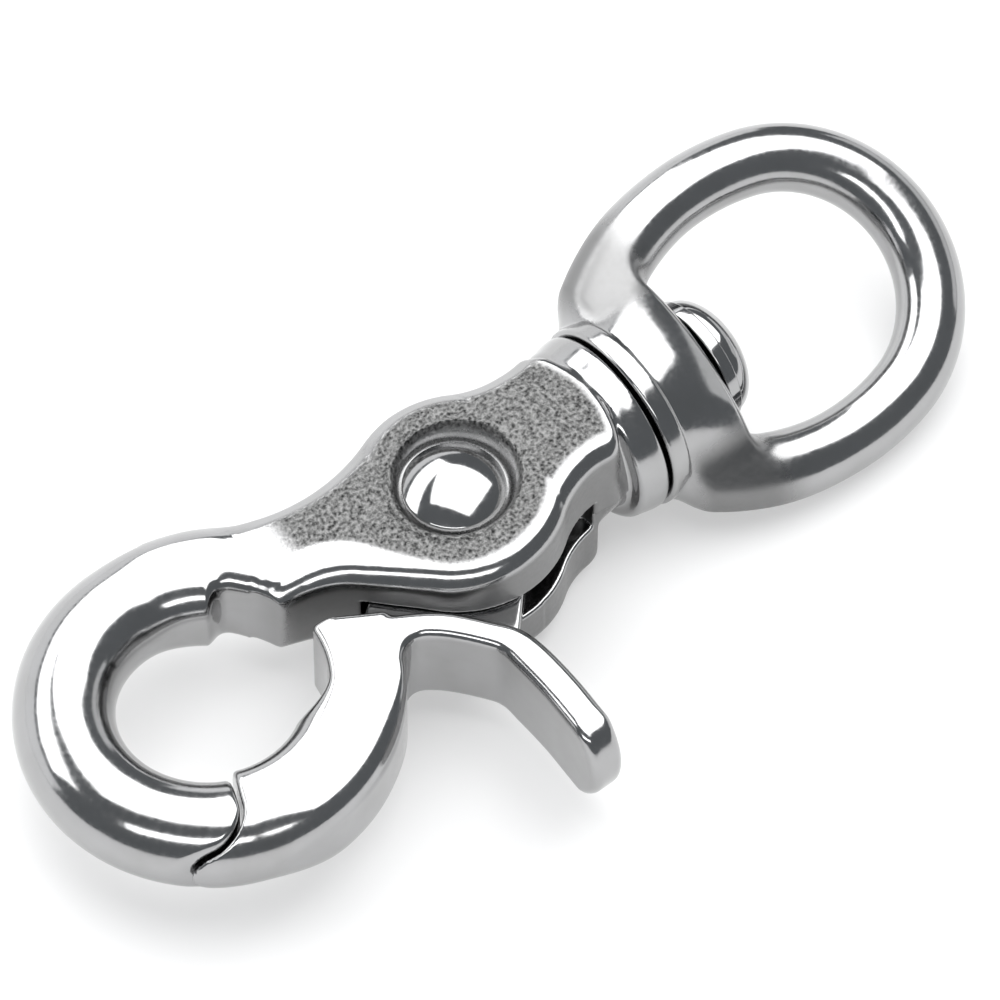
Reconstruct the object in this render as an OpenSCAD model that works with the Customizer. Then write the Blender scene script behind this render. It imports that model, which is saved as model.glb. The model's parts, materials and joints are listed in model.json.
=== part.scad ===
// Trigger snap hook with a swivel eye.
// The origin is the centre of the hook's loop. +X runs along the hook to the eye and
// +Z is the loop's own axis. The trigger and its lever are on the -Y side.

/* [Hook loop] */
// Radius of the centre line of the loop's bar
loop_r = 11.5; // [11:0.1:12]
// Radius of the loop's round bar
bar_r = 4.1; // [3.9:0.05:4.3]
// Direction, from the loop's centre, in which the hook's tip meets the trigger
tip_angle = -115; // [-118:1:-112]
// Gap left between the hook's tip and the closed trigger
tip_gap = 0.35; // [0.2:0.05:0.5]

/* [Hook body] */
// Distance along the hook from the loop's centre to the pivot rivet
pivot_x = 25.9; // [25.5:0.1:26.3]
// Height of the swivel's axis above the loop's centre
axis_y = 1.7; // [1.4:0.1:2]
// How far the pivot rivet lies below the swivel's axis
pivot_drop = 0.3; // [0:0.1:0.5]
// Radius of the round cheeks about the pivot
cheek_r = 9.1; // [8.9:0.1:9.3]
// Half the body's thickness at the nose beside the loop
nose_half_t = 4.2; // [4:0.1:4.4]
// Half the body's thickness at the pivot
pivot_half_t = 7; // [6.8:0.1:7.3]
// Half the body's thickness at the neck
neck_half_t = 7.9; // [7.7:0.1:8.1]
// Radius of the round collar that carries the swivel
collar_r = 8; // [7.8:0.1:8.2]
// Distance from the pivot to the collar's end face
collar_end = 16.1; // [15.9:0.1:16.3]
// Width of the slot between the cheeks
slot_w = 3.3; // [3.2:0.05:3.6]

/* [Pivot rivet] */
// Radius of the rivet's shank
rivet_r = 2.25; // [2:0.05:2.5]
// Radius of the rivet's domed heads
rivet_head_r = 4.2; // [4:0.1:4.4]
// Radius of the recess round each head
recess_r = 4.75; // [4.6:0.05:5]
// Depth of the recess below the cheek's face
recess_depth = 1.5; // [1.2:0.1:1.8]
// Height of each domed head
rivet_head_h = 1.9; // [1.6:0.1:2.1]

/* [Trigger] */
// Thickness of the tongue that turns in the slot
tongue_t = 3; // [2.9:0.05:3.05]
// Width of the jaw and of the thumb lever, along the pivot
lever_w = 8.8; // [8.4:0.1:9]
// Thickness of the thumb lever
lever_t = 3; // [2.8:0.1:3.2]
// Distance from the pivot's level down to the lever's end
lever_end = 25.9; // [25:0.1:26.5]
// Radial clearance of the tongue's bore on the rivet
pivot_clearance = 0.05; // [0.03:0.01:0.09]

/* [Torsion spring] */
// Radius of the spring's wire
wire_r = 0.3; // [0.25:0.01:0.32]
// Radius of the coil, to the middle of the wire
coil_r = 2.8; // [2.7:0.05:2.9]

/* [Swivel eye] */
// Turn of the eye about its swivel axis, away from the plane of the loop
eye_turn = 25; // [0:5:45]
// Radius of the eye's round bar
eye_bar_r = 2.85; // [2.6:0.05:3]
// Radius of the centre line of the bow's round end
bow_r = 11.7; // [11.5:0.1:12]
// Radius of the centre line of the bow's two flanks
flank_r = 22; // [21:0.5:23]
// Radius of the eye's foot where it faces the collar
skirt_r = 8.2; // [8:0.1:8.4]
// Radius of the eye's foot where it faces the stud's head
foot_r = 6; // [5.8:0.1:6.4]
// Length of the eye's foot along the swivel axis
foot_l = 7.9; // [7.6:0.1:8.2]

/* [Swivel stud] */
// Radius of the stud's shank
stud_r = 3.2; // [3:0.05:3.4]
// Radius of the stud's domed head
stud_head_r = 5.5; // [5.3:0.1:5.7]
// Height of the stud's domed head
stud_head_h = 4; // [3.7:0.1:4.2]
// Radial clearance of the eye's bore on the stud
stud_clearance = 0.06; // [0.03:0.01:0.09]
// Gap along the axis on each side of the eye's barrel
end_gap = 0.3; // [0.2:0.05:0.4]

/* [Hidden] */
$fn = 96;
polished = "silver";
spring_steel = "slategray";
// Length that only has to reach past what it cuts
past = 40;
// Length by which joined shapes reach into one another
overlap = 1;
// Outline of the body, measured from the middle of the cheeks
cheek_y = -0.7;
dip_r = 14;
neck_fillet_r = 8;
neck_top = 5.4;
neck_foot = -6.6;
nose_wall_r = 9.6;
nose_wall_end = 44;
nose_foot = [-16.6, 0.7];
nose_heel = [-12.7, -0.3];
heel_slope = -133;
front_end = [3.9, -0.6];
front_end_r = 10;
rear_end = [2.4, -0.3];
rear_end_r = 9.7;
collar_start = 13.4;
neck_core_r = 6.2;
nose_end_x = -16.5;
neck_start_x = 9;
// Pocket for the tongue, measured from the pivot
pocket_r = 6.9;
slot_end_x = 9.4;
slot_left_x = -10.8;
// Rivet, tongue and spring
rivet_rim = 0.4;
tongue_r = 6.4;
spring_pocket_r = 3.5;
spring_pocket_depth = 2.2;
spring_turns = 2;
spring_pitch = 0.62;
coil_steps = 24;
wire_sides = 8;
leg_reach = 6.7;
leg_angle = 75;
leg_room = 38;
spring_z = tongue_t / 2 - spring_pocket_depth + wire_r + 0.05;
// Loop and jaw
jaw_end_angle = -6;
hook_start_angle = 16;
lip_r = 14.4;
lip_sweep = 22;
jaw_wall_end = -38;
// Beam and lever, measured from the pivot
lever_x = -3;
lever_bow = 0.6;
beam_top = [[-16.4, -2.6], [-14.5, -2.7], [-11, -4.7], [-7.6, -7.7], [-4.9, -10.9],
            [-3.5, -12.9]];
beam_foot = [[-6.6, -11.6], [-7.8, -9.4], [-9.4, -8.2], [-11, -8], [-12.6, -9],
             [-15.5, -11.2], [-19, -10]];
lever_tip_r = 5.6;
// Eye, measured from the pivot along the swivel axis
bow_x = 35.8;
flank_start = 75;
flank_end = 124;
shoulder_half_t = 3.4;
shoulder = [[0, 7.6], [1.6, 9], [4.4, 10.8], [7.9, 11.4]];
flank_overlap = 1.2;
stud_grip = 6.4;
skirt_l = 1.8;
skirt_drop = 0.4;
stud_rim = 1.3;
flank_bar_r = eye_bar_r + 0.1;
foot_x = collar_end + end_gap;
head_x = foot_x + foot_l + end_gap;
// Angle at the loop's centre of the gap at the hook's tip
tip_gap_angle = tip_gap / loop_r * 180 / PI;

// Centre of the circle of radius r that touches two circles from outside, on their upper
// side. c1 and c2 are their centres, r1 and r2 their radii, and c1 is the left one.
function touching(c1, r1, c2, r2, r) =
    let (d = c2 - c1, len = norm(d), a = r1 + r, b = r2 + r,
         along = (a * a - b * b + len * len) / (2 * len), up = sqrt(a * a - along * along),
         dir = d / len)
    c1 + along * dir + up * [-dir[1], dir[0]];

// Centre of the circle of radius r whose nearest point lies at height y and that touches
// the cheek's circle. side is 1 above the body and -1 below it.
function neck_circle(y, r, side) =
    let (cy = y + side * r, dy = cy - cheek_y, reach = cheek_r + r)
    [sqrt(reach * reach - dy * dy), cy];

// Point on a circle
function polar(c, r, a) = c + r * [cos(a), sin(a)];

// Places what is measured from the middle of the cheeks, on the swivel axis
module at_body() {
    translate([pivot_x, axis_y, 0]) children();
}

// Places what is measured from the pivot rivet
module at_pivot() {
    translate([pivot_x, axis_y - pivot_drop, 0]) children();
}

// Turns a solid of revolution about Z into one about the swivel axis
module along_swivel() {
    at_body() rotate([0, 90, 0]) children();
}

// Part of the loop's bar from angle a0 to a1
module bar_arc(r, bar, a0, a1) {
    rotate([0, 0, a0]) rotate_extrude(angle = a1 - a0) translate([r, 0]) circle(bar);
}

// Outline of the two cheeks, nose and neck, seen along Z
module body_outline() {
    loop_c = [-pivot_x, -axis_y];
    cheek_c = [0, cheek_y];
    dip_c = touching(loop_c, loop_r + bar_r, cheek_c, cheek_r, dip_r);
    top_c = neck_circle(neck_top, neck_fillet_r, 1);
    foot_c = neck_circle(neck_foot, neck_fillet_r, -1);
    difference() {
        union() {
            translate(cheek_c) circle(cheek_r);
            polygon([loop_c, dip_c, cheek_c, polar(cheek_c, cheek_r, heel_slope), nose_heel,
                     nose_foot]);
            polygon([cheek_c, top_c, [past, neck_top + 1], [past, neck_foot - 1], foot_c]);
        }
        translate(dip_c) circle(dip_r);
        translate(top_c) circle(neck_fillet_r);
        translate(foot_c) circle(neck_fillet_r);
        translate(loop_c) circle(nose_wall_r);
    }
}

// Keeps what lies before the rounded end of a cheek's panel, which stops at the collar
module before_end(centre, r) {
    translate(centre) circle(r);
    translate([-past + centre[0], -past / 2]) square([past, past]);
}

// Side view of the body: thin at the loop, thick at the neck
module body_profile() {
    half = [[-pivot_x, nose_half_t], [nose_end_x, nose_half_t], [0, pivot_half_t],
            [neck_start_x, neck_half_t], [past, neck_half_t]];
    polygon(concat(half, [for (i = [len(half) - 1 : -1 : 0]) [half[i][0], -half[i][1]]]));
}

// The two cheeks, which end in a rounded panel on the front and a shorter one behind
module cheeks() {
    at_body() intersection() {
        linear_extrude(past, center = true) body_outline();
        rotate([90, 0, 0]) linear_extrude(past, center = true) body_profile();
        union() {
            linear_extrude(past) before_end(front_end, front_end_r);
            translate([0, 0, -past]) linear_extrude(past) before_end(rear_end, rear_end_r);
        }
    }
}

// The space between the cheeks in which the tongue turns
module pocket_outline() {
    within = pocket_r - 0.5;
    circle(pocket_r);
    polygon([
        polar([0, 0], within, 130), [slot_left_x, -1.2], [slot_left_x, -past / 2],
        [slot_end_x, -past / 2], [slot_end_x, -5], polar([0, 0], within, -15)
    ]);
}

module hook_body() {
    recess_floor = pivot_half_t - recess_depth;
    color(polished)
    difference() {
        union() {
            difference() {
                bar_arc(loop_r, bar_r, hook_start_angle, 360 + tip_angle - tip_gap_angle);
                flat_wall(0, nose_wall_end);
            }
            cheeks();
            along_swivel() translate([0, 0, slot_end_x - overlap])
                cylinder(r = neck_core_r, h = collar_start - slot_end_x + 2 * overlap);
            along_swivel() translate([0, 0, collar_start])
                cylinder(r = collar_r, h = collar_end - collar_start);
        }
        // Slot between the cheeks
        at_pivot() linear_extrude(slot_w, center = true) pocket_outline();
        // Rivet hole and the recess for each of its heads
        at_pivot() cylinder(r = rivet_r, h = past, center = true);
        at_pivot() for (side = [-1, 1])
            translate([0, 0, side * (recess_floor + past / 2)])
                cylinder(r = recess_r, h = past, center = true);
        // Hole for the swivel stud
        along_swivel() translate([0, 0, collar_end - stud_grip])
            cylinder(r = stud_r, h = past);
        // Room for the trigger's lip outside the hook's tip
        tip_recess();
    }
}

// Sector of the plane round the loop's centre, from angle a0 to a1
module sector(a0, a1, r) {
    polygon([[0, 0], for (i = [0 : 4]) polar([0, 0], r, a0 + (a1 - a0) * i / 4)]);
}

// Cuts the flat upright wall on the inside of the loop's bar, from angle a0 to a1
module flat_wall(a0, a1) {
    linear_extrude(past, center = true) intersection() {
        circle(nose_wall_r);
        sector(a0, a1, past);
    }
}

// Space outside the tip that belongs to the trigger's lip
module tip_recess() {
    linear_extrude(past, center = true) difference() {
        sector(tip_angle - tip_gap_angle - lip_sweep, tip_angle + 5, past);
        circle(lip_r - tip_gap);
    }
}

// Outline of the beam and the lever, seen along Z, measured from the pivot
module lever_outline() {
    front = lever_x - lever_bow;
    difference() {
        polygon(concat(
            beam_top,
            [[lever_x, -14.5], [lever_x, -19], [front, -lever_end + 1],
             [front - 1, -lever_end], [front - lever_t + 0.4, -lever_end],
             [lever_x - lever_t, -19], [lever_x - lever_t - 0.1, -14.5]],
            beam_foot));
        translate([-pivot_x, pivot_drop - axis_y]) circle(nose_wall_r);
    }
}

// The lever's rounded end, seen along X
module lever_side() {
    translate([-lever_end + lever_tip_r, 0]) circle(lever_tip_r);
    translate([-lever_end + lever_tip_r, -past / 2]) square([past, past]);
}

// Outline of the plate that turns between the cheeks, measured from the pivot
module tongue_outline() {
    within = tongue_r - 0.3;
    circle(tongue_r);
    polygon([
        polar([0, 0], within, 140), [-12.2, -4.3], [-9.5, -7], [-6.5, -9.8], [-4, -13],
        polar([0, 0], within, -50)
    ]);
}

module trigger_jaw() {
    color(polished)
    difference() {
        union() {
            // Jaw: the quarter of the loop that opens, with its lip
            intersection() {
                difference() {
                    bar_arc(loop_r, bar_r, tip_angle - lip_sweep, jaw_end_angle);
                    flat_wall(jaw_wall_end, 0);
                }
                linear_extrude(past, center = true) {
                    sector(tip_angle, jaw_end_angle, past);
                    difference() {
                        sector(tip_angle - lip_sweep, tip_angle + 1, past);
                        circle(lip_r);
                    }
                }
            }
            // Beam and thumb lever
            at_pivot() intersection() {
                linear_extrude(lever_w, center = true) lever_outline();
                rotate([90, 0, 90]) linear_extrude(2 * past, center = true) lever_side();
            }
            at_pivot() linear_extrude(tongue_t, center = true) tongue_outline();
        }
        at_pivot() cylinder(r = rivet_r + pivot_clearance, h = past, center = true);
        // Pocket for the spring's coil and the window that its fixed leg stands in
        at_pivot() translate([0, 0, tongue_t / 2 - spring_pocket_depth]) {
            cylinder(r = spring_pocket_r, h = past);
            linear_extrude(past) sector(leg_angle - leg_room, leg_angle + leg_room, past);
        }
    }
}

// A domed head whose flat side is on the XY plane
module domed_head(r, h, rim) {
    rise = h - rim;
    ball_r = (r * r + rise * rise) / (2 * rise);
    rotate_extrude() intersection() {
        translate([0, h - ball_r]) circle(ball_r);
        square([r, h]);
    }
}

module pivot_rivet() {
    floor_z = pivot_half_t - recess_depth;
    color(polished) at_pivot() {
        cylinder(r = rivet_r, h = 2 * floor_z, center = true);
        for (side = [0, 1]) mirror([0, 0, side])
            translate([0, 0, floor_z]) domed_head(rivet_head_r, rivet_head_h, rivet_rim);
    }
}

// Point of the spring's wire after turning by angle a
function coil_point(a) =
    [coil_r * cos(a), coil_r * sin(a), spring_z + spring_pitch * (a - leg_angle) / 360];

// Corners of one ring of the wire: c is its centre, a its direction round the rivet
function wire_ring(c, a) = [for (k = [0 : wire_sides - 1])
    let (t = 360 * k / wire_sides)
    c + wire_r * (cos(t) * [cos(a), sin(a), 0] + sin(t) * [0, 0, 1])];

module torsion_spring() {
    steps = spring_turns * coil_steps;
    rings = [for (i = [0 : steps])
        let (a = leg_angle + 360 * i / coil_steps) wire_ring(coil_point(a), a)];
    last = wire_sides - 1;
    quads = [for (i = [0 : steps - 1]) for (k = [0 : last])
        let (n = (k + 1) % wire_sides, base = i * wire_sides)
        [base + k, base + n, base + wire_sides + n, base + wire_sides + k]];
    color(spring_steel) at_pivot() {
        polyhedron(
            points = [for (ring = rings) each ring],
            faces = concat([[for (k = [last : -1 : 0]) k]], quads,
                           [[for (k = [0 : last]) steps * wire_sides + k]]));
        // Straight legs: the first rests in the tongue's window, the last under the roof
        for (end = [[leg_angle, spring_z], [leg_angle, spring_z + spring_turns * spring_pitch]])
            rotate([0, 0, end[0]]) translate([coil_r - wire_r, 0, end[1]])
                rotate([0, 90, 0]) cylinder(r = wire_r, h = leg_reach - coil_r);
    }
}

// Shoulders that join the flanks of the bow to the foot, seen square to the bow
module shoulder_outline() {
    for (side = [0, 1]) mirror([0, side])
        translate([foot_x, 0]) polygon(concat([[0, 0]], shoulder, [[foot_l, 0]]));
}

module swivel_eye() {
    flank_c = [bow_x, 0] + (bow_r - flank_r) * [cos(flank_start), sin(flank_start)];
    color(polished)
    at_body() rotate([eye_turn, 0, 0])
    difference() {
        union() {
            translate([bow_x, 0, 0])
                bar_arc(bow_r, eye_bar_r, -flank_start, flank_start);
            for (side = [0, 1]) mirror([0, side, 0])
                translate([flank_c[0], flank_c[1], 0])
                    bar_arc(flank_r, flank_bar_r, flank_start - flank_overlap, flank_end);
            translate([foot_x, 0, 0]) rotate([0, 90, 0]) {
                cylinder(r1 = skirt_r - skirt_drop, r2 = foot_r, h = foot_l);
                cylinder(r = skirt_r, h = skirt_l);
            }
            linear_extrude(2 * shoulder_half_t, center = true) shoulder_outline();
        }
        rotate([0, 90, 0]) cylinder(r = stud_r + stud_clearance, h = bow_x);
    }
}

module swivel_stud() {
    color(polished) along_swivel() {
        translate([0, 0, collar_end - stud_grip])
            cylinder(r = stud_r, h = head_x - collar_end + stud_grip + overlap);
        translate([0, 0, head_x]) domed_head(stud_head_r, stud_head_h, stud_rim);
    }
}

hook_body();
trigger_jaw();
pivot_rivet();
torsion_spring();
swivel_eye();
swivel_stud();
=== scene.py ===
"""Looks of a polished trigger snap hook with a swivel eye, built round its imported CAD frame.

Each casting is a distance field with filleted edges, meshed evenly and smoothed on to its
own surface. Fields work in millimetres, in the frame of the CAD model.
"""
import json
import math

import bpy
import numpy as np
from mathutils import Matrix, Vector


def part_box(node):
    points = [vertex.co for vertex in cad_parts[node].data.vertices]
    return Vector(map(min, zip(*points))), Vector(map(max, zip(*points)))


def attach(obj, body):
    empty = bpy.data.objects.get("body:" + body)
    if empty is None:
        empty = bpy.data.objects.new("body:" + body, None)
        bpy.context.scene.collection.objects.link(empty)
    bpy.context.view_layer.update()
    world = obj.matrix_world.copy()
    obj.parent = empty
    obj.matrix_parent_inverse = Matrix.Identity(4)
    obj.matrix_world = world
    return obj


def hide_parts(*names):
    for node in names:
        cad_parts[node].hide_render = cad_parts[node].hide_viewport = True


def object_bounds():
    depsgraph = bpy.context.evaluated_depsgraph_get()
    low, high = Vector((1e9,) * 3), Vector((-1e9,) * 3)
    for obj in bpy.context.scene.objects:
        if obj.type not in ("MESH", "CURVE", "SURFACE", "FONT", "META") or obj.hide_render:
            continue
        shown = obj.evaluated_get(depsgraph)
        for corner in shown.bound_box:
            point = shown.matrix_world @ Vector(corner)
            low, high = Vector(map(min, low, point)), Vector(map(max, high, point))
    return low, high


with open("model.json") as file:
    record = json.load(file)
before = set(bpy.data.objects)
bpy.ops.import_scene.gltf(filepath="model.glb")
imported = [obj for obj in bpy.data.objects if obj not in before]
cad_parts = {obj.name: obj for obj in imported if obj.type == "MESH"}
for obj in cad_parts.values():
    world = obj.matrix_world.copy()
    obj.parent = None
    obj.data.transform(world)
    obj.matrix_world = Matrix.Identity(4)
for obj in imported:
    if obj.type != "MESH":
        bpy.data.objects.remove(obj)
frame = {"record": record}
cad_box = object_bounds()

MM = 0.001
JOINTS = {joint["name"]: joint for joint in frame["record"]["behaviour"]["joints"]}
PIVOT_X, PIVOT_Y = [v / MM for v in JOINTS["trigger_swing"]["pos_m"][:2]]
AXIS_Y = JOINTS["eye_swivel"]["pos_m"][1] / MM


def span(node, axis):
    """Lowest and highest coordinate of a CAD node along an axis, in millimetres."""
    low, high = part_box(node)
    return low[axis] / MM, high[axis] / MM


# ---------------------------------------------------------------- sizes, in millimetres
VOXEL = 0.2

# Loop, about its own centre; places are (radius, degrees)
OUT_R = -span("hook_body", 0)[0]
BAR_R = 4.1
LOOP_R = OUT_R - BAR_R
# Radius of the upright wall where the nose and the jaw face the opening
WALL_R = 9.6
TIP_ANGLE = -115
# Degrees at which the bar starts inside the nose, and the range in which it turns square
BAR_START = 34
SIDE_RANGE = (92, 52)
SQUARE_RANGE = (54, 42)
NOSE_SIDE = -60
SEAM_GAP = 0.3
SEAM_R = 2.8
LIP_START = (14.2, -116)
LIP_END = (15.6, -136)

# Body, measured from the pivot's X on the swivel axis
CHEEK_Y = -0.7
CHEEK_R = 9.1
DIP_R = 14
NECK_R = 8
NECK_TOP = 5.4
NECK_FOOT = -6.6
NOSE_FOOT = (-16.6, 0.7)
NOSE_HEEL = (-12.7, -0.3)
HEEL_SLOPE = -133
NOSE_OVERLAP = 6
# Half thickness at places along X, and what it loses past the dip
THICKNESS = ((-16.5, 4.15), (0, 7.0), (9, 7.9))
DIP_LOSS = 1.2
# Round ends of the cheeks as (x, y, radius), and bevels as (width, degrees)
FRONT_END = (3.9, -0.6, 10)
REAR_END = (2.4, -0.3, 9.7)
UPPER_BEVEL = (1.7, 37)
LOWER_BEVEL = (1.9, 17)
WALL_BEVEL = (0.9, 40)
CORE_R = 6.2
CORE_TAPER = 2.2
CORE_X = 11.5
CORE_HALF = 3.2
COLLAR_R = 8.0
COLLAR_TAPER = 0.35
COLLAR = (13.4, span("hook_body", 0)[1] - PIVOT_X)

# Pocket, rivet and recess, measured from the pivot
SLOT_HALF = 1.65
POCKET_R = 6.9
SLOT_X = (-10.8, 9.4)
RECESS_R = 4.75
RECESS_FLOOR = 5.5
RECESS_FLARE = 0.45
RIVET_R = 2.25
RIVET_GAP = 0.05
RIVET_RIM = 0.45
RIVET_TOP = span("pivot_rivet", 2)[1]
RIVET_HEAD_R = (span("pivot_rivet", 0)[1] - span("pivot_rivet", 0)[0]) / 2

# Trigger
LEVER_HALF = span("trigger_jaw", 2)[1]
LEVER_END = span("trigger_jaw", 1)[0] - AXIS_Y
LEVER_TIP_R = 5.6
# Level of the jaw's roof and the line of its slope
ROOF_Y = -2.7
ROOF_SLOPE = ((-10.9, -5.05), (-14.6, -2.75))
ROOF_EDGE = 0.6
# Degrees over which the jaw's round bar turns square
JAW_SQUARE = (-62, -34)
LEVER_EDGE = 0.85
LEVER_FILLET = 2.1
TONGUE_HALF = 1.5
TONGUE_R = 6.4
# Points on the middle of the beam and the lever with the half thickness there
LEVER_PATH = ((-13.4, -5.5, 0.9), (-11.6, -6.5, 1.1), (-8.25, -8.85, 1.2),
              (-5.75, -12.0, 1.22), (-4.8, -13.7, 1.35), (-4.55, -15.8, 1.5),
              (-4.55, -19.2, 1.52), (-4.8, -22.6, 1.52), (-5.15, -26.6, 1.5))

# Eye and stud, measured along the swivel axis from the pivot
EYE_TURN = 25
BOW_X = 35.8
BOW_R = 11.7
FLANK_R = 22
FLANK_START = 75
EYE_BAR_R = 2.85
FOOT = (span("swivel_eye", 0)[0] - PIVOT_X, 24.3)
SKIRT_R = 8.2
SKIRT_END = 18.2
# Foot: half width at the skirt, what its width gains and its thickness loses
FOOT_R = 7.7
FOOT_FLARE = 2.6
FOOT_FLAT = 1.9
BAR_GAIN = 0.2
STUD_R = 3.2
STUD_GAP = 0.06
STUD_HEAD_R = span("swivel_stud", 2)[1]
STUD_HEAD = (24.6, span("swivel_stud", 0)[1] - PIVOT_X)
STUD_START = span("swivel_stud", 0)[0] - PIVOT_X

# Spring, measured from the pivot
WIRE_R = 0.3
COIL_R = 2.8
TURNS = 2
PITCH = 0.62
LEG_ANGLE = 75
LEG_REACH = 6.7

# Polished border round the cast grain, and what it gains below and towards the nose
BORDER = 1.5
BORDER_BELOW = 0.45
BORDER_NOSE = 2.6
# Sizes of the grain's lumps, and how high they stand and how deep the area lies
LUMP_SIZES = (0.7, 0.4)
LUMP_HEIGHT = 0.06
GRAIN_DEPTH = 0.05


# ---------------------------------------------------------------- distance fields
def round_max(a, b, r):
    """What is inside both fields, with the edge between them rounded to radius r."""
    corner = np.hypot(np.maximum(a + r, 0), np.maximum(b + r, 0))
    return np.minimum(np.maximum(a, b), -r) + corner


def round_min(a, b, r):
    """What is inside either field, with a fillet of radius r where they meet."""
    return -round_max(-a, -b, r)


def soft_min(a, b, k):
    """What is inside either field, blended softly over the distance k."""
    h = np.maximum(k - np.abs(a - b), 0) / k
    return np.minimum(a, b) - h * h * k / 4


def ease(x, low, high):
    """0 at low, 1 at high, smooth between them."""
    t = np.clip((x - low) / (high - low), 0, 1)
    return t * t * (3 - 2 * t)


def disc(x, y, cx, cy, r):
    """Signed distance to a circle."""
    return np.hypot(x - cx, y - cy) - r


def left_of(x, y, a, b):
    """Distance to the right of the line from a to b, negative on its left."""
    dx, dy = b[0] - a[0], b[1] - a[1]
    return ((x - a[0]) * dy - (y - a[1]) * dx) / math.hypot(dx, dy)


def polar(r, degrees, cx=0.0, cy=0.0):
    """The point at a radius and an angle about a centre."""
    return (cx + r * math.cos(math.radians(degrees)), cy + r * math.sin(math.radians(degrees)))


def polygon(x, y, points):
    """Signed distance to a closed polygon."""
    nearest, inside = 1e9, False
    for a, b in zip(points, points[1:] + points[:1]):
        ex, ey = b[0] - a[0], b[1] - a[1]
        t = np.clip(((x - a[0]) * ex + (y - a[1]) * ey) / (ex * ex + ey * ey), 0, 1)
        nearest = np.minimum(nearest, np.hypot(x - a[0] - t * ex, y - a[1] - t * ey))
        crosses = (a[1] > y) != (b[1] > y)
        inside = inside ^ (crosses & (x < a[0] + (y - a[1]) * ex / (ey if ey else 1e-9)))
    return np.where(inside, -nearest, nearest)


def strip(x, y, path):
    """Signed distance to a strip whose half thickness changes along its path."""
    nearest = 1e9
    for a, b in zip(path, path[1:]):
        ex, ey = b[0] - a[0], b[1] - a[1]
        t = np.clip(((x - a[0]) * ex + (y - a[1]) * ey) / (ex * ex + ey * ey), 0, 1)
        away = np.hypot(x - a[0] - t * ex, y - a[1] - t * ey)
        nearest = np.minimum(nearest, away - a[2] - t * (b[2] - a[2]))
    return nearest


def curve_through(points, parts=5):
    """A smooth path through the points, each with any number of coordinates."""
    p = np.array(points, float)
    p = np.vstack([2 * p[0] - p[1], p, 2 * p[-1] - p[-2]])
    t = np.arange(parts)[:, None] / parts
    out = []
    for a, b, c, d in zip(p, p[1:], p[2:], p[3:]):
        bend = (2 * a - 5 * b + 4 * c - d) * t ** 2 + (3 * b - a - 3 * c + d) * t ** 3
        out.append(0.5 * (2 * b + (c - a) * t + bend))
    return np.vstack(out + [p[-2:-1]]).tolist()


def touching(c1, r1, c2, r2, r):
    """Centre of the circle of radius r that touches two circles from outside, above them."""
    dx, dy = c2[0] - c1[0], c2[1] - c1[1]
    length = math.hypot(dx, dy)
    along = ((r1 + r) ** 2 - (r2 + r) ** 2 + length ** 2) / (2 * length)
    up = math.sqrt((r1 + r) ** 2 - along ** 2)
    return (c1[0] + (along * dx - up * dy) / length, c1[1] + (along * dy + up * dx) / length)


def neck_circle(level, side):
    """Centre of the circle that fillets the neck into the cheeks."""
    cy = level + side * NECK_R
    return math.sqrt((CHEEK_R + NECK_R) ** 2 - (cy - CHEEK_Y) ** 2), cy


LOOP_C = (-PIVOT_X, -AXIS_Y)
CHEEK_C = (0, CHEEK_Y)
DIP_C = touching(LOOP_C, OUT_R, CHEEK_C, CHEEK_R, DIP_R)
TOP_C = neck_circle(NECK_TOP, 1)
FOOT_C = neck_circle(NECK_FOOT, -1)
HEEL_TOUCH = polar(CHEEK_R, HEEL_SLOPE, 0, CHEEK_Y)


def seam(x, y):
    """The joint at the hook's tip: negative on the hook's side, positive on the trigger's."""
    across = left_of(x, y, (0, 0), polar(1, TIP_ANGLE))
    outside = left_of(x, y, polar(*LIP_END), polar(*LIP_START))
    return round_max(-across, outside, SEAM_R)


def nose_underside(bx, by):
    """Distance below the nose's lower edge, negative inside the nose."""
    foot = -left_of(bx, by, NOSE_HEEL, NOSE_FOOT)
    heel = -left_of(bx, by, HEEL_TOUCH, NOSE_HEEL)
    return soft_min(foot, heel, 1.2)


def body_outline(bx, by):
    """The cheeks, nose and neck seen along Z."""
    nose = np.maximum(nose_underside(bx, by), left_of(bx, by, HEEL_TOUCH, CHEEK_C))
    past_dip = left_of(bx, by, DIP_C, LOOP_C)
    loop = np.maximum(disc(bx, by, *LOOP_C, OUT_R), past_dip - NOSE_OVERLAP)
    nose = np.maximum(nose, np.minimum(past_dip, loop))
    nose = np.maximum(nose, left_of(bx, by, CHEEK_C, DIP_C))
    neck = np.maximum(left_of(bx, by, TOP_C, CHEEK_C), left_of(bx, by, CHEEK_C, FOOT_C))
    neck = np.maximum(neck, np.abs(by) - COLLAR_R)
    outline = np.minimum(np.minimum(disc(bx, by, 0, CHEEK_Y, CHEEK_R), nose), neck)
    outline = np.maximum(outline, -disc(bx, by, *DIP_C, DIP_R))
    outline = np.maximum(outline, -disc(bx, by, *TOP_C, NECK_R))
    return np.maximum(outline, -disc(bx, by, *FOOT_C, NECK_R))


def before_end(bx, by, end):
    """What lies before the rounded end of a cheek's panel."""
    return np.minimum(disc(bx, by, *end), bx - end[0])


def bevel_plane(outline, face, bevel):
    """A bevel of (width seen along Z, tilt in degrees) between a wall and a face."""
    width, tilt = bevel
    s, c = math.sin(math.radians(tilt)), math.cos(math.radians(tilt))
    return outline * s + face * c + width * s


def lower_side(bx, by):
    """1 on the lower side of the body, 0 on its upper side."""
    middle = CHEEK_Y + 4.6 * ease(bx, -1, -15)
    return ease(by - middle, 2, -2)


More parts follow.
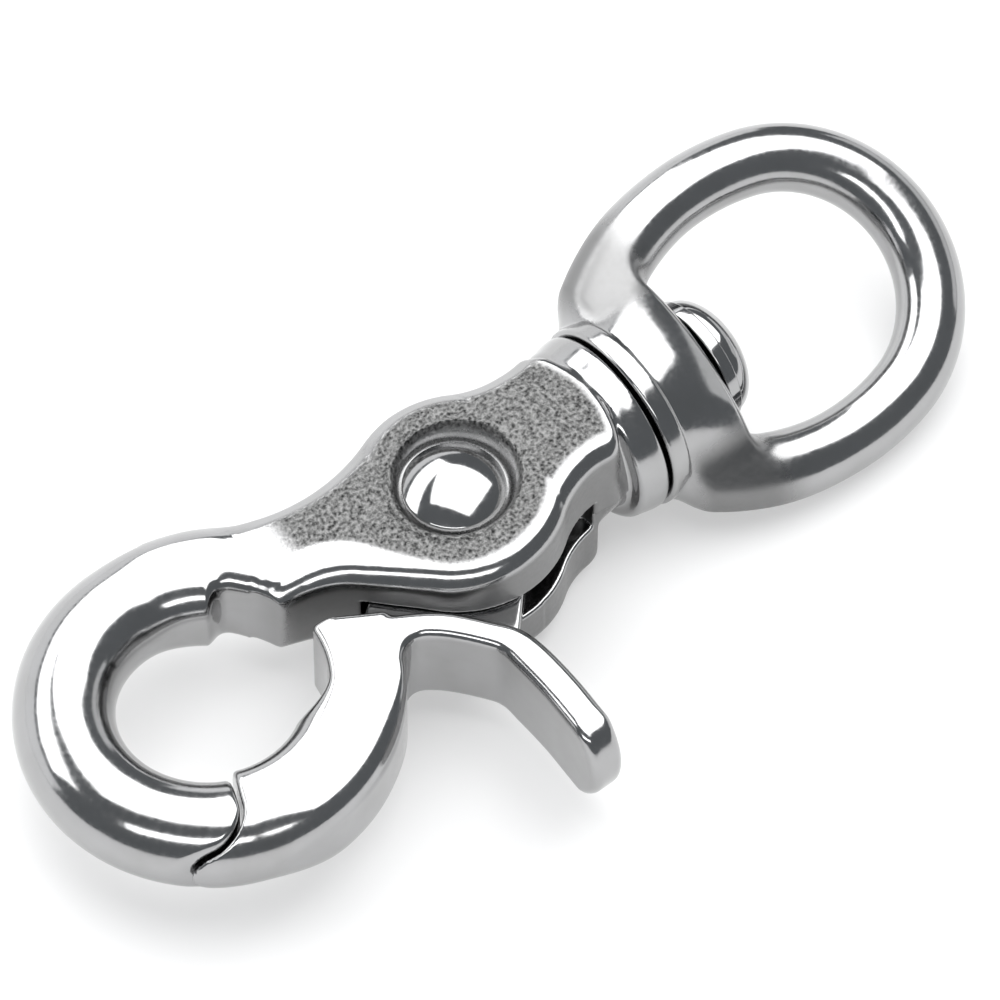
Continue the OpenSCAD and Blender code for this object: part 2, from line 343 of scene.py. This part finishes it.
def hook_body(x, y, z):
    """The hook's casting: loop, nose, cheeks, neck and collar."""
    bx, by = x - PIVOT_X, y - AXIS_Y
    rho = np.hypot(x, y)
    angle = np.degrees(np.arctan2(y, x))
    flat = np.abs(z)
    # Round bar of the loop, squared on the inside where it meets the nose
    round_bar = np.hypot(rho - LOOP_R, z) - BAR_R
    wall = rho - OUT_R
    side_bar = round_max(wall, flat - BAR_R, 2.4)
    side_bar = round_max(side_bar, bevel_plane(wall, flat - BAR_R, UPPER_BEVEL), 0.5)
    side_bar = round_max(side_bar, LOOP_R - BAR_R - rho, 3.0)
    square_bar = round_max(side_bar, WALL_R - rho, 0.4)
    square_bar = round_max(square_bar, bevel_plane(WALL_R - rho, flat - BAR_R, WALL_BEVEL), 0.3)
    near_nose = ease(angle, NOSE_SIDE, NOSE_SIDE / 2)
    bar = round_bar + ease(angle, *SIDE_RANGE) * near_nose * (side_bar - round_bar)
    bar = bar + ease(angle, *SQUARE_RANGE) * near_nose * (square_bar - bar)
    bar = round_max(bar, np.minimum(seam(x, y) + SEAM_GAP / 2, nose_underside(bx, by)), 0.4)
    bar = np.maximum(bar, np.where(angle > NOSE_SIDE, BAR_START - angle, -BAR_START) * 0.2)
    # Cheeks
    past_dip = left_of(bx, by, DIP_C, LOOP_C)
    half = np.interp(bx, *zip(*THICKNESS)) - DIP_LOSS * ease(past_dip, -1, 5)
    low = lower_side(bx, by)
    outline = body_outline(bx, by)
    bevel = np.maximum(bevel_plane(outline, flat - half, UPPER_BEVEL) - 9 * low,
                       bevel_plane(outline, flat - half, LOWER_BEVEL) - 9 * (1 - low))
    cheeks = round_max(outline, WALL_R - rho, 0.35)
    cheeks = round_max(cheeks, flat - half, 0.4 + 2.0 * (1 - low) * ease(bx, -10, -16))
    cheeks = -soft_min(-cheeks, -round_max(outline, bevel, 0.5 + 0.9 * low), 0.3)
    cheeks = round_max(cheeks, bevel_plane(WALL_R - rho, flat - half, WALL_BEVEL), 0.3)
    end = np.where(z > 0, before_end(bx, by, FRONT_END), before_end(bx, by, REAR_END))
    cheeks = round_max(cheeks, end, 0.8)
    body = soft_min(bar, cheeks, 0.9)
    # Neck and collar
    around = np.hypot(by, z)
    core_r = CORE_R - CORE_TAPER * ease(bx, 11.6, 8.2)
    core = np.maximum(around - core_r, np.abs(bx - CORE_X) - CORE_HALF)
    body = soft_min(body, core, 1.4)
    barrel = COLLAR_R - COLLAR_TAPER * ease(bx, COLLAR[1] - 0.4, COLLAR[0])
    collar = round_max(around - barrel, bx - COLLAR[1], 0.35)
    collar = round_max(collar, COLLAR[0] - bx, 0.5)
    body = soft_min(body, collar, 0.5)
    # Slot for the trigger
    px, py = bx, by + AXIS_Y - PIVOT_Y
    reach = POCKET_R - 0.5
    below = left_of(px, py, polar(reach, 130), (SLOT_X[0], -1.2))
    below = np.maximum(below, left_of(px, py, (SLOT_X[1], -5), polar(reach, -15)))
    below = np.maximum(below, np.maximum(SLOT_X[0] - px, px - SLOT_X[1]))
    pocket = np.minimum(np.hypot(px, py) - POCKET_R, below)
    body = round_max(body, -np.maximum(pocket, flat - SLOT_HALF), 0.3)
    # Recess round each rivet head, with a faint raised lip
    from_rivet = np.hypot(px, py)
    lip = np.hypot((from_rivet - RECESS_R - 0.5) / 1.6, flat - half) - 0.17
    body = soft_min(body, lip, 0.2)
    cone = (from_rivet - RECESS_R + 0.25 - RECESS_FLARE * (flat - RECESS_FLOOR)) / 1.1
    body = round_max(body, -np.maximum(cone, RECESS_FLOOR - flat), 0.25)
    body = np.maximum(body, RIVET_R - from_rivet)
    bore = np.maximum(around - STUD_R, STUD_START - bx)
    return np.maximum(body, -bore)


def grain_area(x, y, z):
    """1 where the cheeks keep their cast grain, 0 on the polished borders."""
    bx, by = x - PIVOT_X, y - AXIS_Y
    low = lower_side(bx, by)
    border = BORDER + low * (BORDER_BELOW + BORDER_NOSE * ease(bx, -5, -13))
    inside = -np.maximum(body_outline(bx, by) + border, before_end(bx, by, FRONT_END) + 0.9)
    half = np.interp(bx, *zip(*THICKNESS))
    on_face = ease(np.abs(z) - half, -0.9, -0.35)
    return ease(inside, -0.35, 0.35) * on_face * ease(bx, -14.5, -12)


def hook_satin(p, normal):
    """1 where the body was not buffed and takes painted shade: its side walls and the recess round
    each rivet.
    """
    bx, by = p[:, 0] - PIVOT_X, p[:, 1] - AXIS_Y
    # Painted shade: the side walls, found by their normals, and the recess round each rivet get a
    # darker colour as well as a rougher finish
    wall = ease(np.abs(normal[:, 2]), 0.45, 0.15) * ease(bx, -18, -15) * ease(bx, 13, 11)
    from_rivet = np.hypot(p[:, 0] - PIVOT_X, p[:, 1] - PIVOT_Y)
    recess = 0.6 * ease(from_rivet, RECESS_R + 0.5, RECESS_R + 0.2)
    return np.maximum(wall, recess)


def eye_satin(p):
    """1 at the roots of the bow's arms, which the buffing wheel did not reach."""
    turn = math.radians(EYE_TURN)
    ex = p[:, 0] - PIVOT_X
    ey = (p[:, 1] - AXIS_Y) * math.cos(turn) + p[:, 2] * math.sin(turn)
    root = ease(np.abs(ey), 5.5, 7.5) * ease(ex, FOOT[0] + 1, FOOT[0] + 3)
    return root * ease(ex, FOOT[1] + 3.5, FOOT[1] - 1)


LEVER_CURVE = curve_through(LEVER_PATH)
TONGUE_LINK = [polar(TONGUE_R - 0.3, 140), (-11.9, -3.4), (-9.5, -7), (-6.5, -9.8), (-4, -13),
               polar(TONGUE_R - 0.3, -50)]


def trigger_jaw(x, y, z):
    """The trigger's casting: jaw, lever and tongue.

    The tongue is solid here. The pocket that the CAD node has for the spring is left out, so
    the spring wire lies inside it.
    """
    bx, by = x - PIVOT_X, y - AXIS_Y
    px, py = bx, by + AXIS_Y - PIVOT_Y
    rho = np.hypot(x, y)
    angle = np.degrees(np.arctan2(y, x))
    flat = np.abs(z)
    # Jaw: flat on the front, with an upright inner wall that turns round lower down
    squared = ease(angle, *JAW_SQUARE)
    inner = LOOP_R - BAR_R + (WALL_R - LOOP_R + BAR_R - 0.1) * squared
    inner_edge = 2.5 - 1.9 * squared
    outer_edge = 0.8 + 1.4 * ease(angle, -32, -60) + 1.7 * ease(angle, -84, -112)
    roof = round_max(by - ROOF_Y, left_of(bx, by, *ROOF_SLOPE), ROOF_EDGE)
    jaw = round_max(np.maximum(rho - OUT_R, inner - rho), roof, 0.5)
    # Thumb lever
    tip = np.where(by < LEVER_END + LEVER_TIP_R,
                   np.hypot(by - LEVER_END - LEVER_TIP_R, z) - LEVER_TIP_R, -LEVER_TIP_R)
    lever = np.maximum(strip(bx, by, LEVER_CURVE), WALL_R - rho)
    # Both in one outline, then cut to thickness with edges that suit each place
    crotch = ease(left_of(bx, by, LEVER_PATH[0], LEVER_PATH[2]), -0.9, -0.3)
    blended = soft_min(jaw, lever, 0.7)
    outline = blended + crotch * (round_min(jaw, lever, LEVER_FILLET) - blended)
    on_jaw = ease(lever - jaw, -1, 3)
    edge = np.where(rho < LOOP_R, inner_edge, outer_edge)
    edge = LEVER_EDGE + (edge - LEVER_EDGE) * on_jaw
    half = LEVER_HALF + (BAR_R - LEVER_HALF) * (1 - squared) * on_jaw
    trigger = round_max(outline, round_max(tip, flat - half, 0.8), edge)
    trigger = round_max(trigger, SEAM_GAP / 2 - seam(x, y), 0.35)
    # Tongue that turns in the slot
    tongue = np.minimum(np.hypot(px, py) - TONGUE_R, polygon(px, py, TONGUE_LINK))
    tongue = round_max(tongue, flat - TONGUE_HALF, 0.25)
    trigger = soft_min(trigger, tongue, 0.5)
    return np.maximum(trigger, RIVET_R + RIVET_GAP - np.hypot(px, py))


def swivel_eye(x, y, z):
    """The eye's casting: bow, foot and skirt, with the bore for the stud."""
    turn = math.radians(EYE_TURN)
    ex = x - PIVOT_X
    ey = np.abs((y - AXIS_Y) * math.cos(turn) + z * math.sin(turn))
    ez = z * math.cos(turn) - (y - AXIS_Y) * math.sin(turn)
    # Bow and flanks
    past_bow = np.degrees(np.arctan2(ey, ex - BOW_X)) > FLANK_START
    cx, cy = polar(BOW_R - FLANK_R, FLANK_START, BOW_X)
    off = np.where(past_bow, np.hypot(ex - cx, ey - cy) - FLANK_R,
                   np.hypot(ex - BOW_X, ey) - BOW_R)
    bar = EYE_BAR_R + BAR_GAIN * ease(ex, 32, 24)
    bow = round_max(np.hypot(off, ez) - bar, FOOT[0] + 0.9 - ex, 2.2)
    # Foot: round at the skirt, wide and flat at the inner end
    along = (ex - SKIRT_END) / (FOOT[1] - SKIRT_END)
    wide = FOOT_R + FOOT_FLARE * ease(along, -0.1, 1.2)
    thin = FOOT_R - FOOT_FLAT * np.clip(along, 0, 1.2) ** 2
    foot = (np.hypot(ey / wide, ez / thin) - 1) * thin
    foot = round_max(foot, ex - FOOT[1], 0.7)
    foot = round_max(foot, SKIRT_END - 0.6 - ex, 0.2)
    around = np.hypot(ey, ez)
    skirt = round_max(around - SKIRT_R, np.abs(ex - (FOOT[0] + SKIRT_END) / 2) -
                      (SKIRT_END - FOOT[0]) / 2, 0.3)
    eye = soft_min(foot, bow, 1.8)
    eye = soft_min(eye, skirt, 0.25)
    bore = np.maximum(around - STUD_R - STUD_GAP, ex - FOOT[1] - 1)
    return np.maximum(eye, -bore)


# ---------------------------------------------------------------- meshes
# Pull towards the neighbours in each round of evening out, and least squared slope trusted
EVEN_PULL = 0.6
LEAST_SLOPE = 0.05
NOISE_CELLS = 64
CORNERS = [(i, j, k) for i in (0, 1) for j in (0, 1) for k in (0, 1)]
EDGES = [(a, b) for a in range(8) for b in range(a + 1, 8)
         if sum(abs(p - q) for p, q in zip(CORNERS[a], CORNERS[b])) == 1]


def slope(field, p, reach=0.02):
    """The field's gradient at each point."""
    out = np.empty_like(p)
    for axis in range(3):
        ahead, behind = p.copy(), p.copy()
        ahead[:, axis] += reach
        behind[:, axis] -= reach
        out[:, axis] = (field(*ahead.T) - field(*behind.T)) / (2 * reach)
    return out


def settle(field, p):
    """Moves points on to the field's surface."""
    g = slope(field, p)
    length = np.maximum((g * g).sum(1), LEAST_SLOPE)
    step = np.clip(field(*p.T) / length, -VOXEL / 2, VOXEL / 2)
    return p - step[:, None] * g


def quads_round_edges(inside, cell):
    """Four cells round each grid edge that crosses the surface, wound to face outwards."""
    quads = []
    for axis in range(3):
        u, v = (axis + 1) % 3, (axis + 2) % 3
        low = np.moveaxis(inside, (axis, u, v), (0, 1, 2))
        cells = np.moveaxis(cell, (axis, u, v), (0, 1, 2))
        first, second = low[:-1, 1:-1, 1:-1], low[1:, 1:-1, 1:-1]
        for here in (True, False):
            i, j, k = np.nonzero((first == here) & (second != here))
            ring = [cells[i, j, k], cells[i, j + 1, k], cells[i, j + 1, k + 1],
                    cells[i, j, k + 1]]
            quads.append(np.stack(ring if here else ring[::-1], 1))
    return np.vstack(quads)


def surface(field, box, voxel):
    """Vertices and quads of the surface on which the field is zero."""
    margin = 2.5 * voxel
    axes = [np.arange(lo / MM - margin, hi / MM + margin + voxel, voxel) for lo, hi in zip(*box)]
    value = field(axes[0][:, None, None], axes[1][None, :, None], axes[2][None, None, :])
    value = np.ascontiguousarray(np.broadcast_to(value, [len(a) for a in axes]))
    inside = value < 0
    nx, ny, nz = [n - 1 for n in inside.shape]
    count = sum(inside[i:nx + i, j:ny + j, k:nz + k].astype(np.int8) for i, j, k in CORNERS)
    mixed = (count > 0) & (count < 8)
    at = np.argwhere(mixed)
    cell = np.full(mixed.shape, -1)
    cell[mixed] = np.arange(len(at))
    corner = np.stack([value[tuple((at + c).T)] for c in CORNERS], 1)
    total, hits = np.zeros((len(at), 3)), np.zeros(len(at))
    for a, b in EDGES:
        cut = (corner[:, a] < 0) != (corner[:, b] < 0)
        t = np.where(cut, corner[:, a] / np.where(cut, corner[:, a] - corner[:, b], 1), 0)
        step = np.subtract(CORNERS[b], CORNERS[a])
        total += cut[:, None] * (np.array(CORNERS[a]) + t[:, None] * step)
        hits += cut
    p = (at + total / hits[:, None]) * voxel + np.array([a[0] for a in axes])
    return p, quads_round_edges(inside, cell)


def even_out(field, p, quads, rounds):
    """Spreads the vertices evenly over the surface without leaving it."""
    pairs = np.vstack([quads[:, [i, (i + 1) % 4]] for i in range(4)])
    n = len(p)
    degree = np.maximum(np.bincount(pairs[:, 0], minlength=n), 1)
    for _ in range(rounds):
        mean = np.stack([np.bincount(pairs[:, 0], p[pairs[:, 1], k], n) for k in range(3)], 1)
        p = settle(field, p + EVEN_PULL * (mean / degree[:, None] - p))
    return p


def make_mesh(name, p, faces, **attributes):
    """A smooth-shaded object from points in millimetres and faces."""
    mesh = bpy.data.meshes.new(name)
    mesh.from_pydata((p * MM).tolist(), [], faces.tolist() if hasattr(faces, "tolist") else faces)
    mesh.polygons.foreach_set("use_smooth", [True] * len(mesh.polygons))
    for key, values in attributes.items():
        mesh.attributes.new(key, "FLOAT", "POINT").data.foreach_set("value", values)
    mesh.validate()
    obj = bpy.data.objects.new(name, mesh)
    bpy.context.scene.collection.objects.link(obj)
    return obj


def cast_noise(p, size, seed):
    """Smooth random values from -1 to 1 that change over the given size."""
    table = np.random.default_rng(seed).uniform(-1, 1, (NOISE_CELLS,) * 3)
    q = p / size
    whole = np.floor(q).astype(int)
    f = q - whole
    f = f * f * (3 - 2 * f)
    out = 0
    for c in CORNERS:
        weight = np.prod([f[:, k] if c[k] else 1 - f[:, k] for k in range(3)], axis=0)
        i, j, k = ((whole + c) % NOISE_CELLS).T
        out = out + weight * table[i, j, k]
    return out


def casting(field, node):
    """Vertices and quads of one casting, spread evenly over its own surface."""
    p, quads = surface(field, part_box(node), VOXEL)
    return even_out(field, p, quads, 4), quads


def lathe(name, profile, place, steps=144):
    """Turns a profile of (radius, height) points; place puts (x, y, height) in the frame."""
    angles = np.linspace(0, 2 * math.pi, steps, endpoint=False)
    points, faces, rows = [], [], []
    for r, h in profile:
        if r < 1e-6:
            rows.append([len(points)] * steps)
            points.append(place(0.0, 0.0, h))
        else:
            rows.append(list(range(len(points), len(points) + steps)))
            points += [place(r * math.cos(a), r * math.sin(a), h) for a in angles]
    for low, high in zip(rows, rows[1:]):
        for i in range(steps):
            j = (i + 1) % steps
            face = [low[i], high[i], high[j], low[j]]
            # At a pole two corners are one point, which is listed once
            faces.append(list(dict.fromkeys(face)))
    return make_mesh(name, np.array(points), faces)


def rounded(points, parts=6):
    """A profile whose corners (radius, height, fillet) are rounded by their fillets."""
    out = [points[0][:2]]
    for a, b, c in zip(points, points[1:], points[2:]):
        here = np.array(b[:2], float)
        if b[2] == 0:
            out.append(tuple(here))
            continue
        back = np.array(a[:2]) - here
        on = np.array(c[:2]) - here
        start = here + back / np.linalg.norm(back) * b[2]
        end = here + on / np.linalg.norm(on) * b[2]
        for i in range(parts + 1):
            t = i / parts
            out.append(tuple((1 - t) ** 2 * start + 2 * t * (1 - t) * here + t * t * end))
    return out + [points[-1][:2]]


def dome(r, base, top, parts=28):
    """Points down a spherical cap from its top to its rim."""
    rise = top - base
    ball = (r * r + rise * rise) / (2 * rise)
    full = math.asin(r / ball)
    return [(ball * math.sin(full * i / parts), top - ball * (1 - math.cos(full * i / parts)), 0)
            for i in range(parts + 1)]


# ---------------------------------------------------------------- materials
def nodes_of(name):
    """A new node material, its tree and its shader."""
    material = bpy.data.materials.new(name)
    material.use_nodes = True
    tree = material.node_tree
    return material, tree, tree.nodes["Principled BSDF"]


def add(tree, kind, **values):
    """A node with its sockets or settings set by name."""
    node = tree.nodes.new(kind)
    for key, value in values.items():
        if key in node.inputs:
            node.inputs[key].default_value = value
        else:
            setattr(node, key, value)
    return node


def noise(tree, place, scale, detail=3.0):
    """A noise texture whose scale is in features a metre."""
    node = add(tree, "ShaderNodeTexNoise", Scale=scale, Detail=detail)
    tree.links.new(place.outputs["Object"], node.inputs["Vector"])
    return node


def ramp(tree, source, low, high, start, end):
    """Maps a value from the range low to high on to start to end."""
    node = add(tree, "ShaderNodeMapRange")
    for key, value in (("From Min", low), ("From Max", high), ("To Min", start), ("To Max", end)):
        node.inputs[key].default_value = value
    tree.links.new(source, node.inputs["Value"])
    return node.outputs["Result"]


def polished_steel(name, tone=0.4, rough=0.13, waviness=0.25):
    """Buffed cast stainless steel: slightly wavy, with faint hairlines, and darker and rougher where
    a mesh marks duller steel or painted shade.
    """
    material, tree, shader = nodes_of(name)
    place = add(tree, "ShaderNodeTexCoord")
    shader.inputs["Metallic"].default_value = 1.0
    cloud = noise(tree, place, 260.0).outputs["Fac"]
    stain = add(tree, "ShaderNodeMixRGB", Color1=(tone * 0.93,) * 3 + (1,),
                Color2=(tone, tone, tone * 1.01, 1))
    tree.links.new(ramp(tree, cloud, 0.35, 0.65, 0, 1), stain.inputs["Fac"])
    # Darker colour where a mesh asks for it: painted shade on the hook's side walls and rivet
    # recesses, duller unbuffed steel at the eye's arm roots
    dull_and_shade = add(tree, "ShaderNodeMixRGB", Color2=(tone * 0.55,) * 3 + (1,))
    tree.links.new(stain.outputs["Color"], dull_and_shade.inputs["Color1"])
    tree.links.new(dull_and_shade.outputs["Color"], shader.inputs["Base Color"])
    hair = noise(tree, place, 2400.0, 2.0).outputs["Fac"]
    satin = add(tree, "ShaderNodeAttribute", attribute_name="satin").outputs["Fac"]
    tree.links.new(satin, dull_and_shade.inputs["Fac"])
    buffed = add(tree, "ShaderNodeMath", operation="ADD")
    tree.links.new(ramp(tree, hair, 0.3, 0.7, rough * 0.8, rough * 1.35), buffed.inputs[0])
    tree.links.new(ramp(tree, satin, 0, 1, 0, 0.22), buffed.inputs[1])
    tree.links.new(buffed.outputs[0], shader.inputs["Roughness"])
    wave = add(tree, "ShaderNodeBump", Strength=waviness, Distance=0.00012)
    tree.links.new(noise(tree, place, 330.0, 1.0).outputs["Fac"], wave.inputs["Height"])
    fine = add(tree, "ShaderNodeBump", Strength=0.12, Distance=0.00002)
    tree.links.new(hair, fine.inputs["Height"])
    tree.links.new(wave.outputs["Normal"], fine.inputs["Normal"])
    tree.links.new(fine.outputs["Normal"], shader.inputs["Normal"])
    return material


def cast_steel(name):
    """Polished steel whose "cast" area keeps a coarse sand-cast grain."""
    material = polished_steel(name)
    tree = material.node_tree
    shader = tree.nodes["Principled BSDF"]
    place = add(tree, "ShaderNodeTexCoord")
    area = add(tree, "ShaderNodeAttribute", attribute_name="cast").outputs["Fac"]
    grain = noise(tree, place, 3400.0, 4.0).outputs["Fac"]
    pits = add(tree, "ShaderNodeTexVoronoi", Scale=2900.0)
    tree.links.new(place.outputs["Object"], pits.inputs["Vector"])
    height = add(tree, "ShaderNodeMath", operation="ADD")
    tree.links.new(grain, height.inputs[0])
    tree.links.new(ramp(tree, pits.outputs["Distance"], 0, 0.8, 0, 0.22), height.inputs[1])
    # Colour
    old_colour = shader.inputs["Base Color"].links[0].from_socket
    speckle = add(tree, "ShaderNodeMixRGB", Color1=(0.02, 0.02, 0.02, 1),
                  Color2=(0.19, 0.19, 0.188, 1))
    tree.links.new(ramp(tree, height.outputs[0], 0.42, 0.82, 0, 1), speckle.inputs["Fac"])
    colour = add(tree, "ShaderNodeMixRGB")
    tree.links.new(area, colour.inputs["Fac"])
    tree.links.new(old_colour, colour.inputs["Color1"])
    tree.links.new(speckle.outputs["Color"], colour.inputs["Color2"])
    tree.links.new(colour.outputs["Color"], shader.inputs["Base Color"])
    # Roughness
    old_rough = shader.inputs["Roughness"].links[0].from_socket
    rough = add(tree, "ShaderNodeMixRGB", Color2=(0.4,) * 3 + (1,))
    tree.links.new(area, rough.inputs["Fac"])
    tree.links.new(old_rough, rough.inputs["Color1"])
    tree.links.new(rough.outputs["Color"], shader.inputs["Roughness"])
    # Grain
    old_normal = shader.inputs["Normal"].links[0].from_socket
    bump = add(tree, "ShaderNodeBump", Distance=0.0002)
    tree.links.new(ramp(tree, area, 0, 1, 0, 0.75), bump.inputs["Strength"])
    tree.links.new(height.outputs[0], bump.inputs["Height"])
    tree.links.new(old_normal, bump.inputs["Normal"])
    tree.links.new(bump.outputs["Normal"], shader.inputs["Normal"])
    return material


def wire_steel(name):
    """Drawn spring wire, duller and darker than the castings."""
    return polished_steel(name, tone=0.42, rough=0.28, waviness=0.05)


def floor_paint(name):
    """Matt pale grey that glows faintly, so that the floor stays even."""
    material, tree, shader = nodes_of(name)
    place = add(tree, "ShaderNodeTexCoord")
    tone = add(tree, "ShaderNodeMixRGB", Color1=(0.5, 0.5, 0.5, 1),
               Color2=(0.52, 0.52, 0.52, 1))
    tree.links.new(noise(tree, place, 6.0).outputs["Fac"], tone.inputs["Fac"])
    tree.links.new(tone.outputs["Color"], shader.inputs["Base Color"])
    shader.inputs["Roughness"].default_value = 0.9
    shader.inputs["Specular IOR Level"].default_value = 0.1
    shader.inputs["Emission Color"].default_value = (1, 1, 1, 1)
    shader.inputs["Emission Strength"].default_value = 0.4
    return material


# ---------------------------------------------------------------- pieces
def finish_piece(obj, node, body, material):
    """Gives a piece its material, puts it under its body and hides the CAD node that it stands for.
    """
    obj.data.materials.append(material)
    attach(obj, body)
    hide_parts(node)


def make_hook():
    p, quads = casting(hook_body, "hook_body")
    area = grain_area(*p.T)
    normal = slope(hook_body, p)
    normal /= np.maximum(np.linalg.norm(normal, axis=1), 1e-6)[:, None]
    coarse, fine = LUMP_SIZES
    lumps = 0.5 * cast_noise(p, coarse, 1) + 0.5 * cast_noise(p, fine, 2)
    p = p + normal * (area * (lumps * LUMP_HEIGHT - GRAIN_DEPTH))[:, None]
    # This mask also carries the painted shade of the side walls and rivet recesses
    hook = make_mesh("hook_casting", p, quads, cast=area, satin=hook_satin(p, normal))
    finish_piece(hook, "hook_body", "hook", cast_steel("cast_steel"))


def make_trigger():
    p, quads = casting(trigger_jaw, "trigger_jaw")
    trigger = make_mesh("trigger_casting", p, quads)
    material = polished_steel("trigger_steel")
    finish_piece(trigger, "trigger_jaw", "trigger", material)


def make_eye():
    p, quads = casting(swivel_eye, "swivel_eye")
    eye = make_mesh("eye_casting", p, quads, satin=eye_satin(p))
    finish_piece(eye, "swivel_eye", "eye", polished_steel("eye_steel"))


def make_rivet():
    rim, seat = RECESS_FLOOR + RIVET_RIM, RECESS_FLOOR + 0.02
    half = dome(RIVET_HEAD_R, rim, RIVET_TOP)
    half[-1] = (RIVET_HEAD_R, rim, 0.15)
    half += [(RIVET_HEAD_R, seat, 0), (RIVET_R, seat, 0)]
    profile = half + [(r, -h, f) for r, h, f in reversed(half)]
    rivet = lathe("rivet", rounded(profile),
                  lambda u, v, h: (PIVOT_X + u, PIVOT_Y + v, h))
    material = polished_steel("rivet_steel", rough=0.09, waviness=0.1)
    finish_piece(rivet, "pivot_rivet", "hook", material)


def make_stud():
    under, top = STUD_HEAD
    shoulder, crown = under + 1.3, STUD_HEAD_R - 0.3
    profile = [(crown * math.sin(a), shoulder + (top - shoulder) * math.cos(a), 0)
               for a in np.linspace(0, math.pi / 2, 40)]
    profile += [(crown, shoulder - 0.12, 0.05), (STUD_HEAD_R, shoulder - 0.22, 0.1),
                (STUD_HEAD_R, under, 0.2), (STUD_R, under, 0), (STUD_R, STUD_START, 0.2),
                (0, STUD_START, 0)]
    stud = lathe("stud", rounded(profile),
                 lambda u, v, h: (PIVOT_X + h, AXIS_Y + u, v))
    material = polished_steel("stud_steel", rough=0.09, waviness=0.1)
    finish_piece(stud, "swivel_stud", "hook", material)


def make_spring():
    """A round wire coiled round the rivet, with a straight leg at each end."""
    sides, leg_steps, coil_steps = 16, 12, 64 * TURNS
    leg, sweep, rise = LEG_REACH - COIL_R, 360 * TURNS, TURNS * PITCH
    base = span("torsion_spring", 2)[0] + WIRE_R
    path = [(COIL_R + leg * (1 - i / leg_steps), LEG_ANGLE, base) for i in range(leg_steps)]
    path += [(COIL_R, LEG_ANGLE + sweep * i / coil_steps, base + rise * i / coil_steps)
             for i in range(coil_steps + 1)]
    path += [(COIL_R + leg * i / leg_steps, LEG_ANGLE + sweep, base + rise)
             for i in range(1, leg_steps + 1)]
    centre = np.array([(*polar(r, a, PIVOT_X, PIVOT_Y), h) for r, a, h in path])
    ahead = np.gradient(centre, axis=0)
    ahead /= np.linalg.norm(ahead, axis=1)[:, None]
    side = np.cross(ahead, (0, 0, 1))
    side /= np.linalg.norm(side, axis=1)[:, None]
    up = np.cross(side, ahead)
    points = []
    for c, s, u in zip(centre, side, up):
        points += [c + WIRE_R * (math.cos(t) * s + math.sin(t) * u)
                   for t in np.linspace(0, 2 * math.pi, sides, endpoint=False)]
    faces = [list(range(sides)), list(range(len(points) - 1, len(points) - 1 - sides, -1))]
    for i in range(len(centre) - 1):
        for k in range(sides):
            n = (k + 1) % sides
            here, there = i * sides, (i + 1) * sides
            faces.append([here + k, there + k, there + n, here + n])
    spring = make_mesh("spring_wire", np.array(points), faces)
    material = wire_steel("spring_steel")
    finish_piece(spring, "torsion_spring", "hook", material)


# ---------------------------------------------------------------- studio
def direction(azimuth, elevation):
    """Unit vector towards a place in the studio; azimuth runs from +X towards +Y."""
    a, e = math.radians(azimuth), math.radians(elevation)
    return Vector((math.cos(e) * math.cos(a), math.cos(e) * math.sin(a), math.sin(e)))


def aim(obj, target):
    """Turns a light or camera towards a point."""
    turn = (target - obj.location).to_track_quat("-Z", "Y").to_matrix()
    obj.rotation_euler = turn.to_euler()


def softbox(name, azimuth, elevation, distance, size, power, target):
    """A rectangular area light at a distance in metres, of a size in metres and a power in watts."""
    light = bpy.data.lights.new(name, "AREA")
    light.shape = "RECTANGLE"
    light.size, light.size_y = size
    light.energy = power
    obj = bpy.data.objects.new(name, light)
    bpy.context.scene.collection.objects.link(obj)
    obj.location = target + direction(azimuth, elevation) * distance
    aim(obj, target)


def make_floor():
    """A wide flat floor under the lowest point of the part."""
    low, reach = cad_box[0][2], 1.6
    corners = [(-reach, -reach, low), (reach, -reach, low), (reach, reach, low), (-reach, reach, low)]
    mesh = bpy.data.meshes.new("floor")
    mesh.from_pydata(corners, [], [(0, 1, 2, 3)])
    floor = bpy.data.objects.new("floor", mesh)
    bpy.context.scene.collection.objects.link(floor)
    mesh.materials.append(floor_paint("floor_paint"))


def make_world():
    """Faint, slightly cool light from everywhere."""
    world = bpy.data.worlds.new("studio")
    bpy.context.scene.world = world
    world.use_nodes = True
    background = world.node_tree.nodes["Background"]
    background.inputs["Color"].default_value = (0.9, 0.95, 1.0, 1)
    background.inputs["Strength"].default_value = 0.22


def make_camera(target):
    """A long lens at the viewing angle, so that the perspective is slight."""
    data = bpy.data.cameras.new("camera")
    data.lens, data.sensor_width = 300, 36
    data.clip_end = 20
    frame_width = 0.080
    obj = bpy.data.objects.new("camera", data)
    bpy.context.scene.collection.objects.link(obj)
    azimuth, elevation = math.radians(-39), math.radians(56)
    towards = Vector((math.sin(azimuth) * math.cos(elevation),
                      -math.cos(azimuth) * math.cos(elevation), math.sin(elevation)))
    obj.location = target + towards * frame_width * data.lens / data.sensor_width
    aim(obj, target)
    bpy.context.scene.camera = obj


# Point in the middle of the picture, in metres
CENTRE = Vector((0.02993, 0.00057, 0.00112))

make_hook()
make_trigger()
make_eye()
make_rivet()
make_stud()
make_spring()
make_floor()
make_world()
make_camera(CENTRE)
softbox("overhead", 30, 72, 0.5, (0.62, 0.66), 4.6, CENTRE)
softbox("back_tent", 105, 38, 0.6, (0.9, 0.24), 2.4, CENTRE)
softbox("back_wall", 100, 10.5, 0.7, (1.8, 0.27), 1.75, CENTRE)
softbox("right_wall", 0, 9, 0.7, (0.7, 0.2), 0.35, CENTRE)
softbox("front_strip", 218, 42, 0.6, (0.58, 0.12), 1.0, CENTRE)
bpy.context.scene.view_settings.view_transform = "Standard"
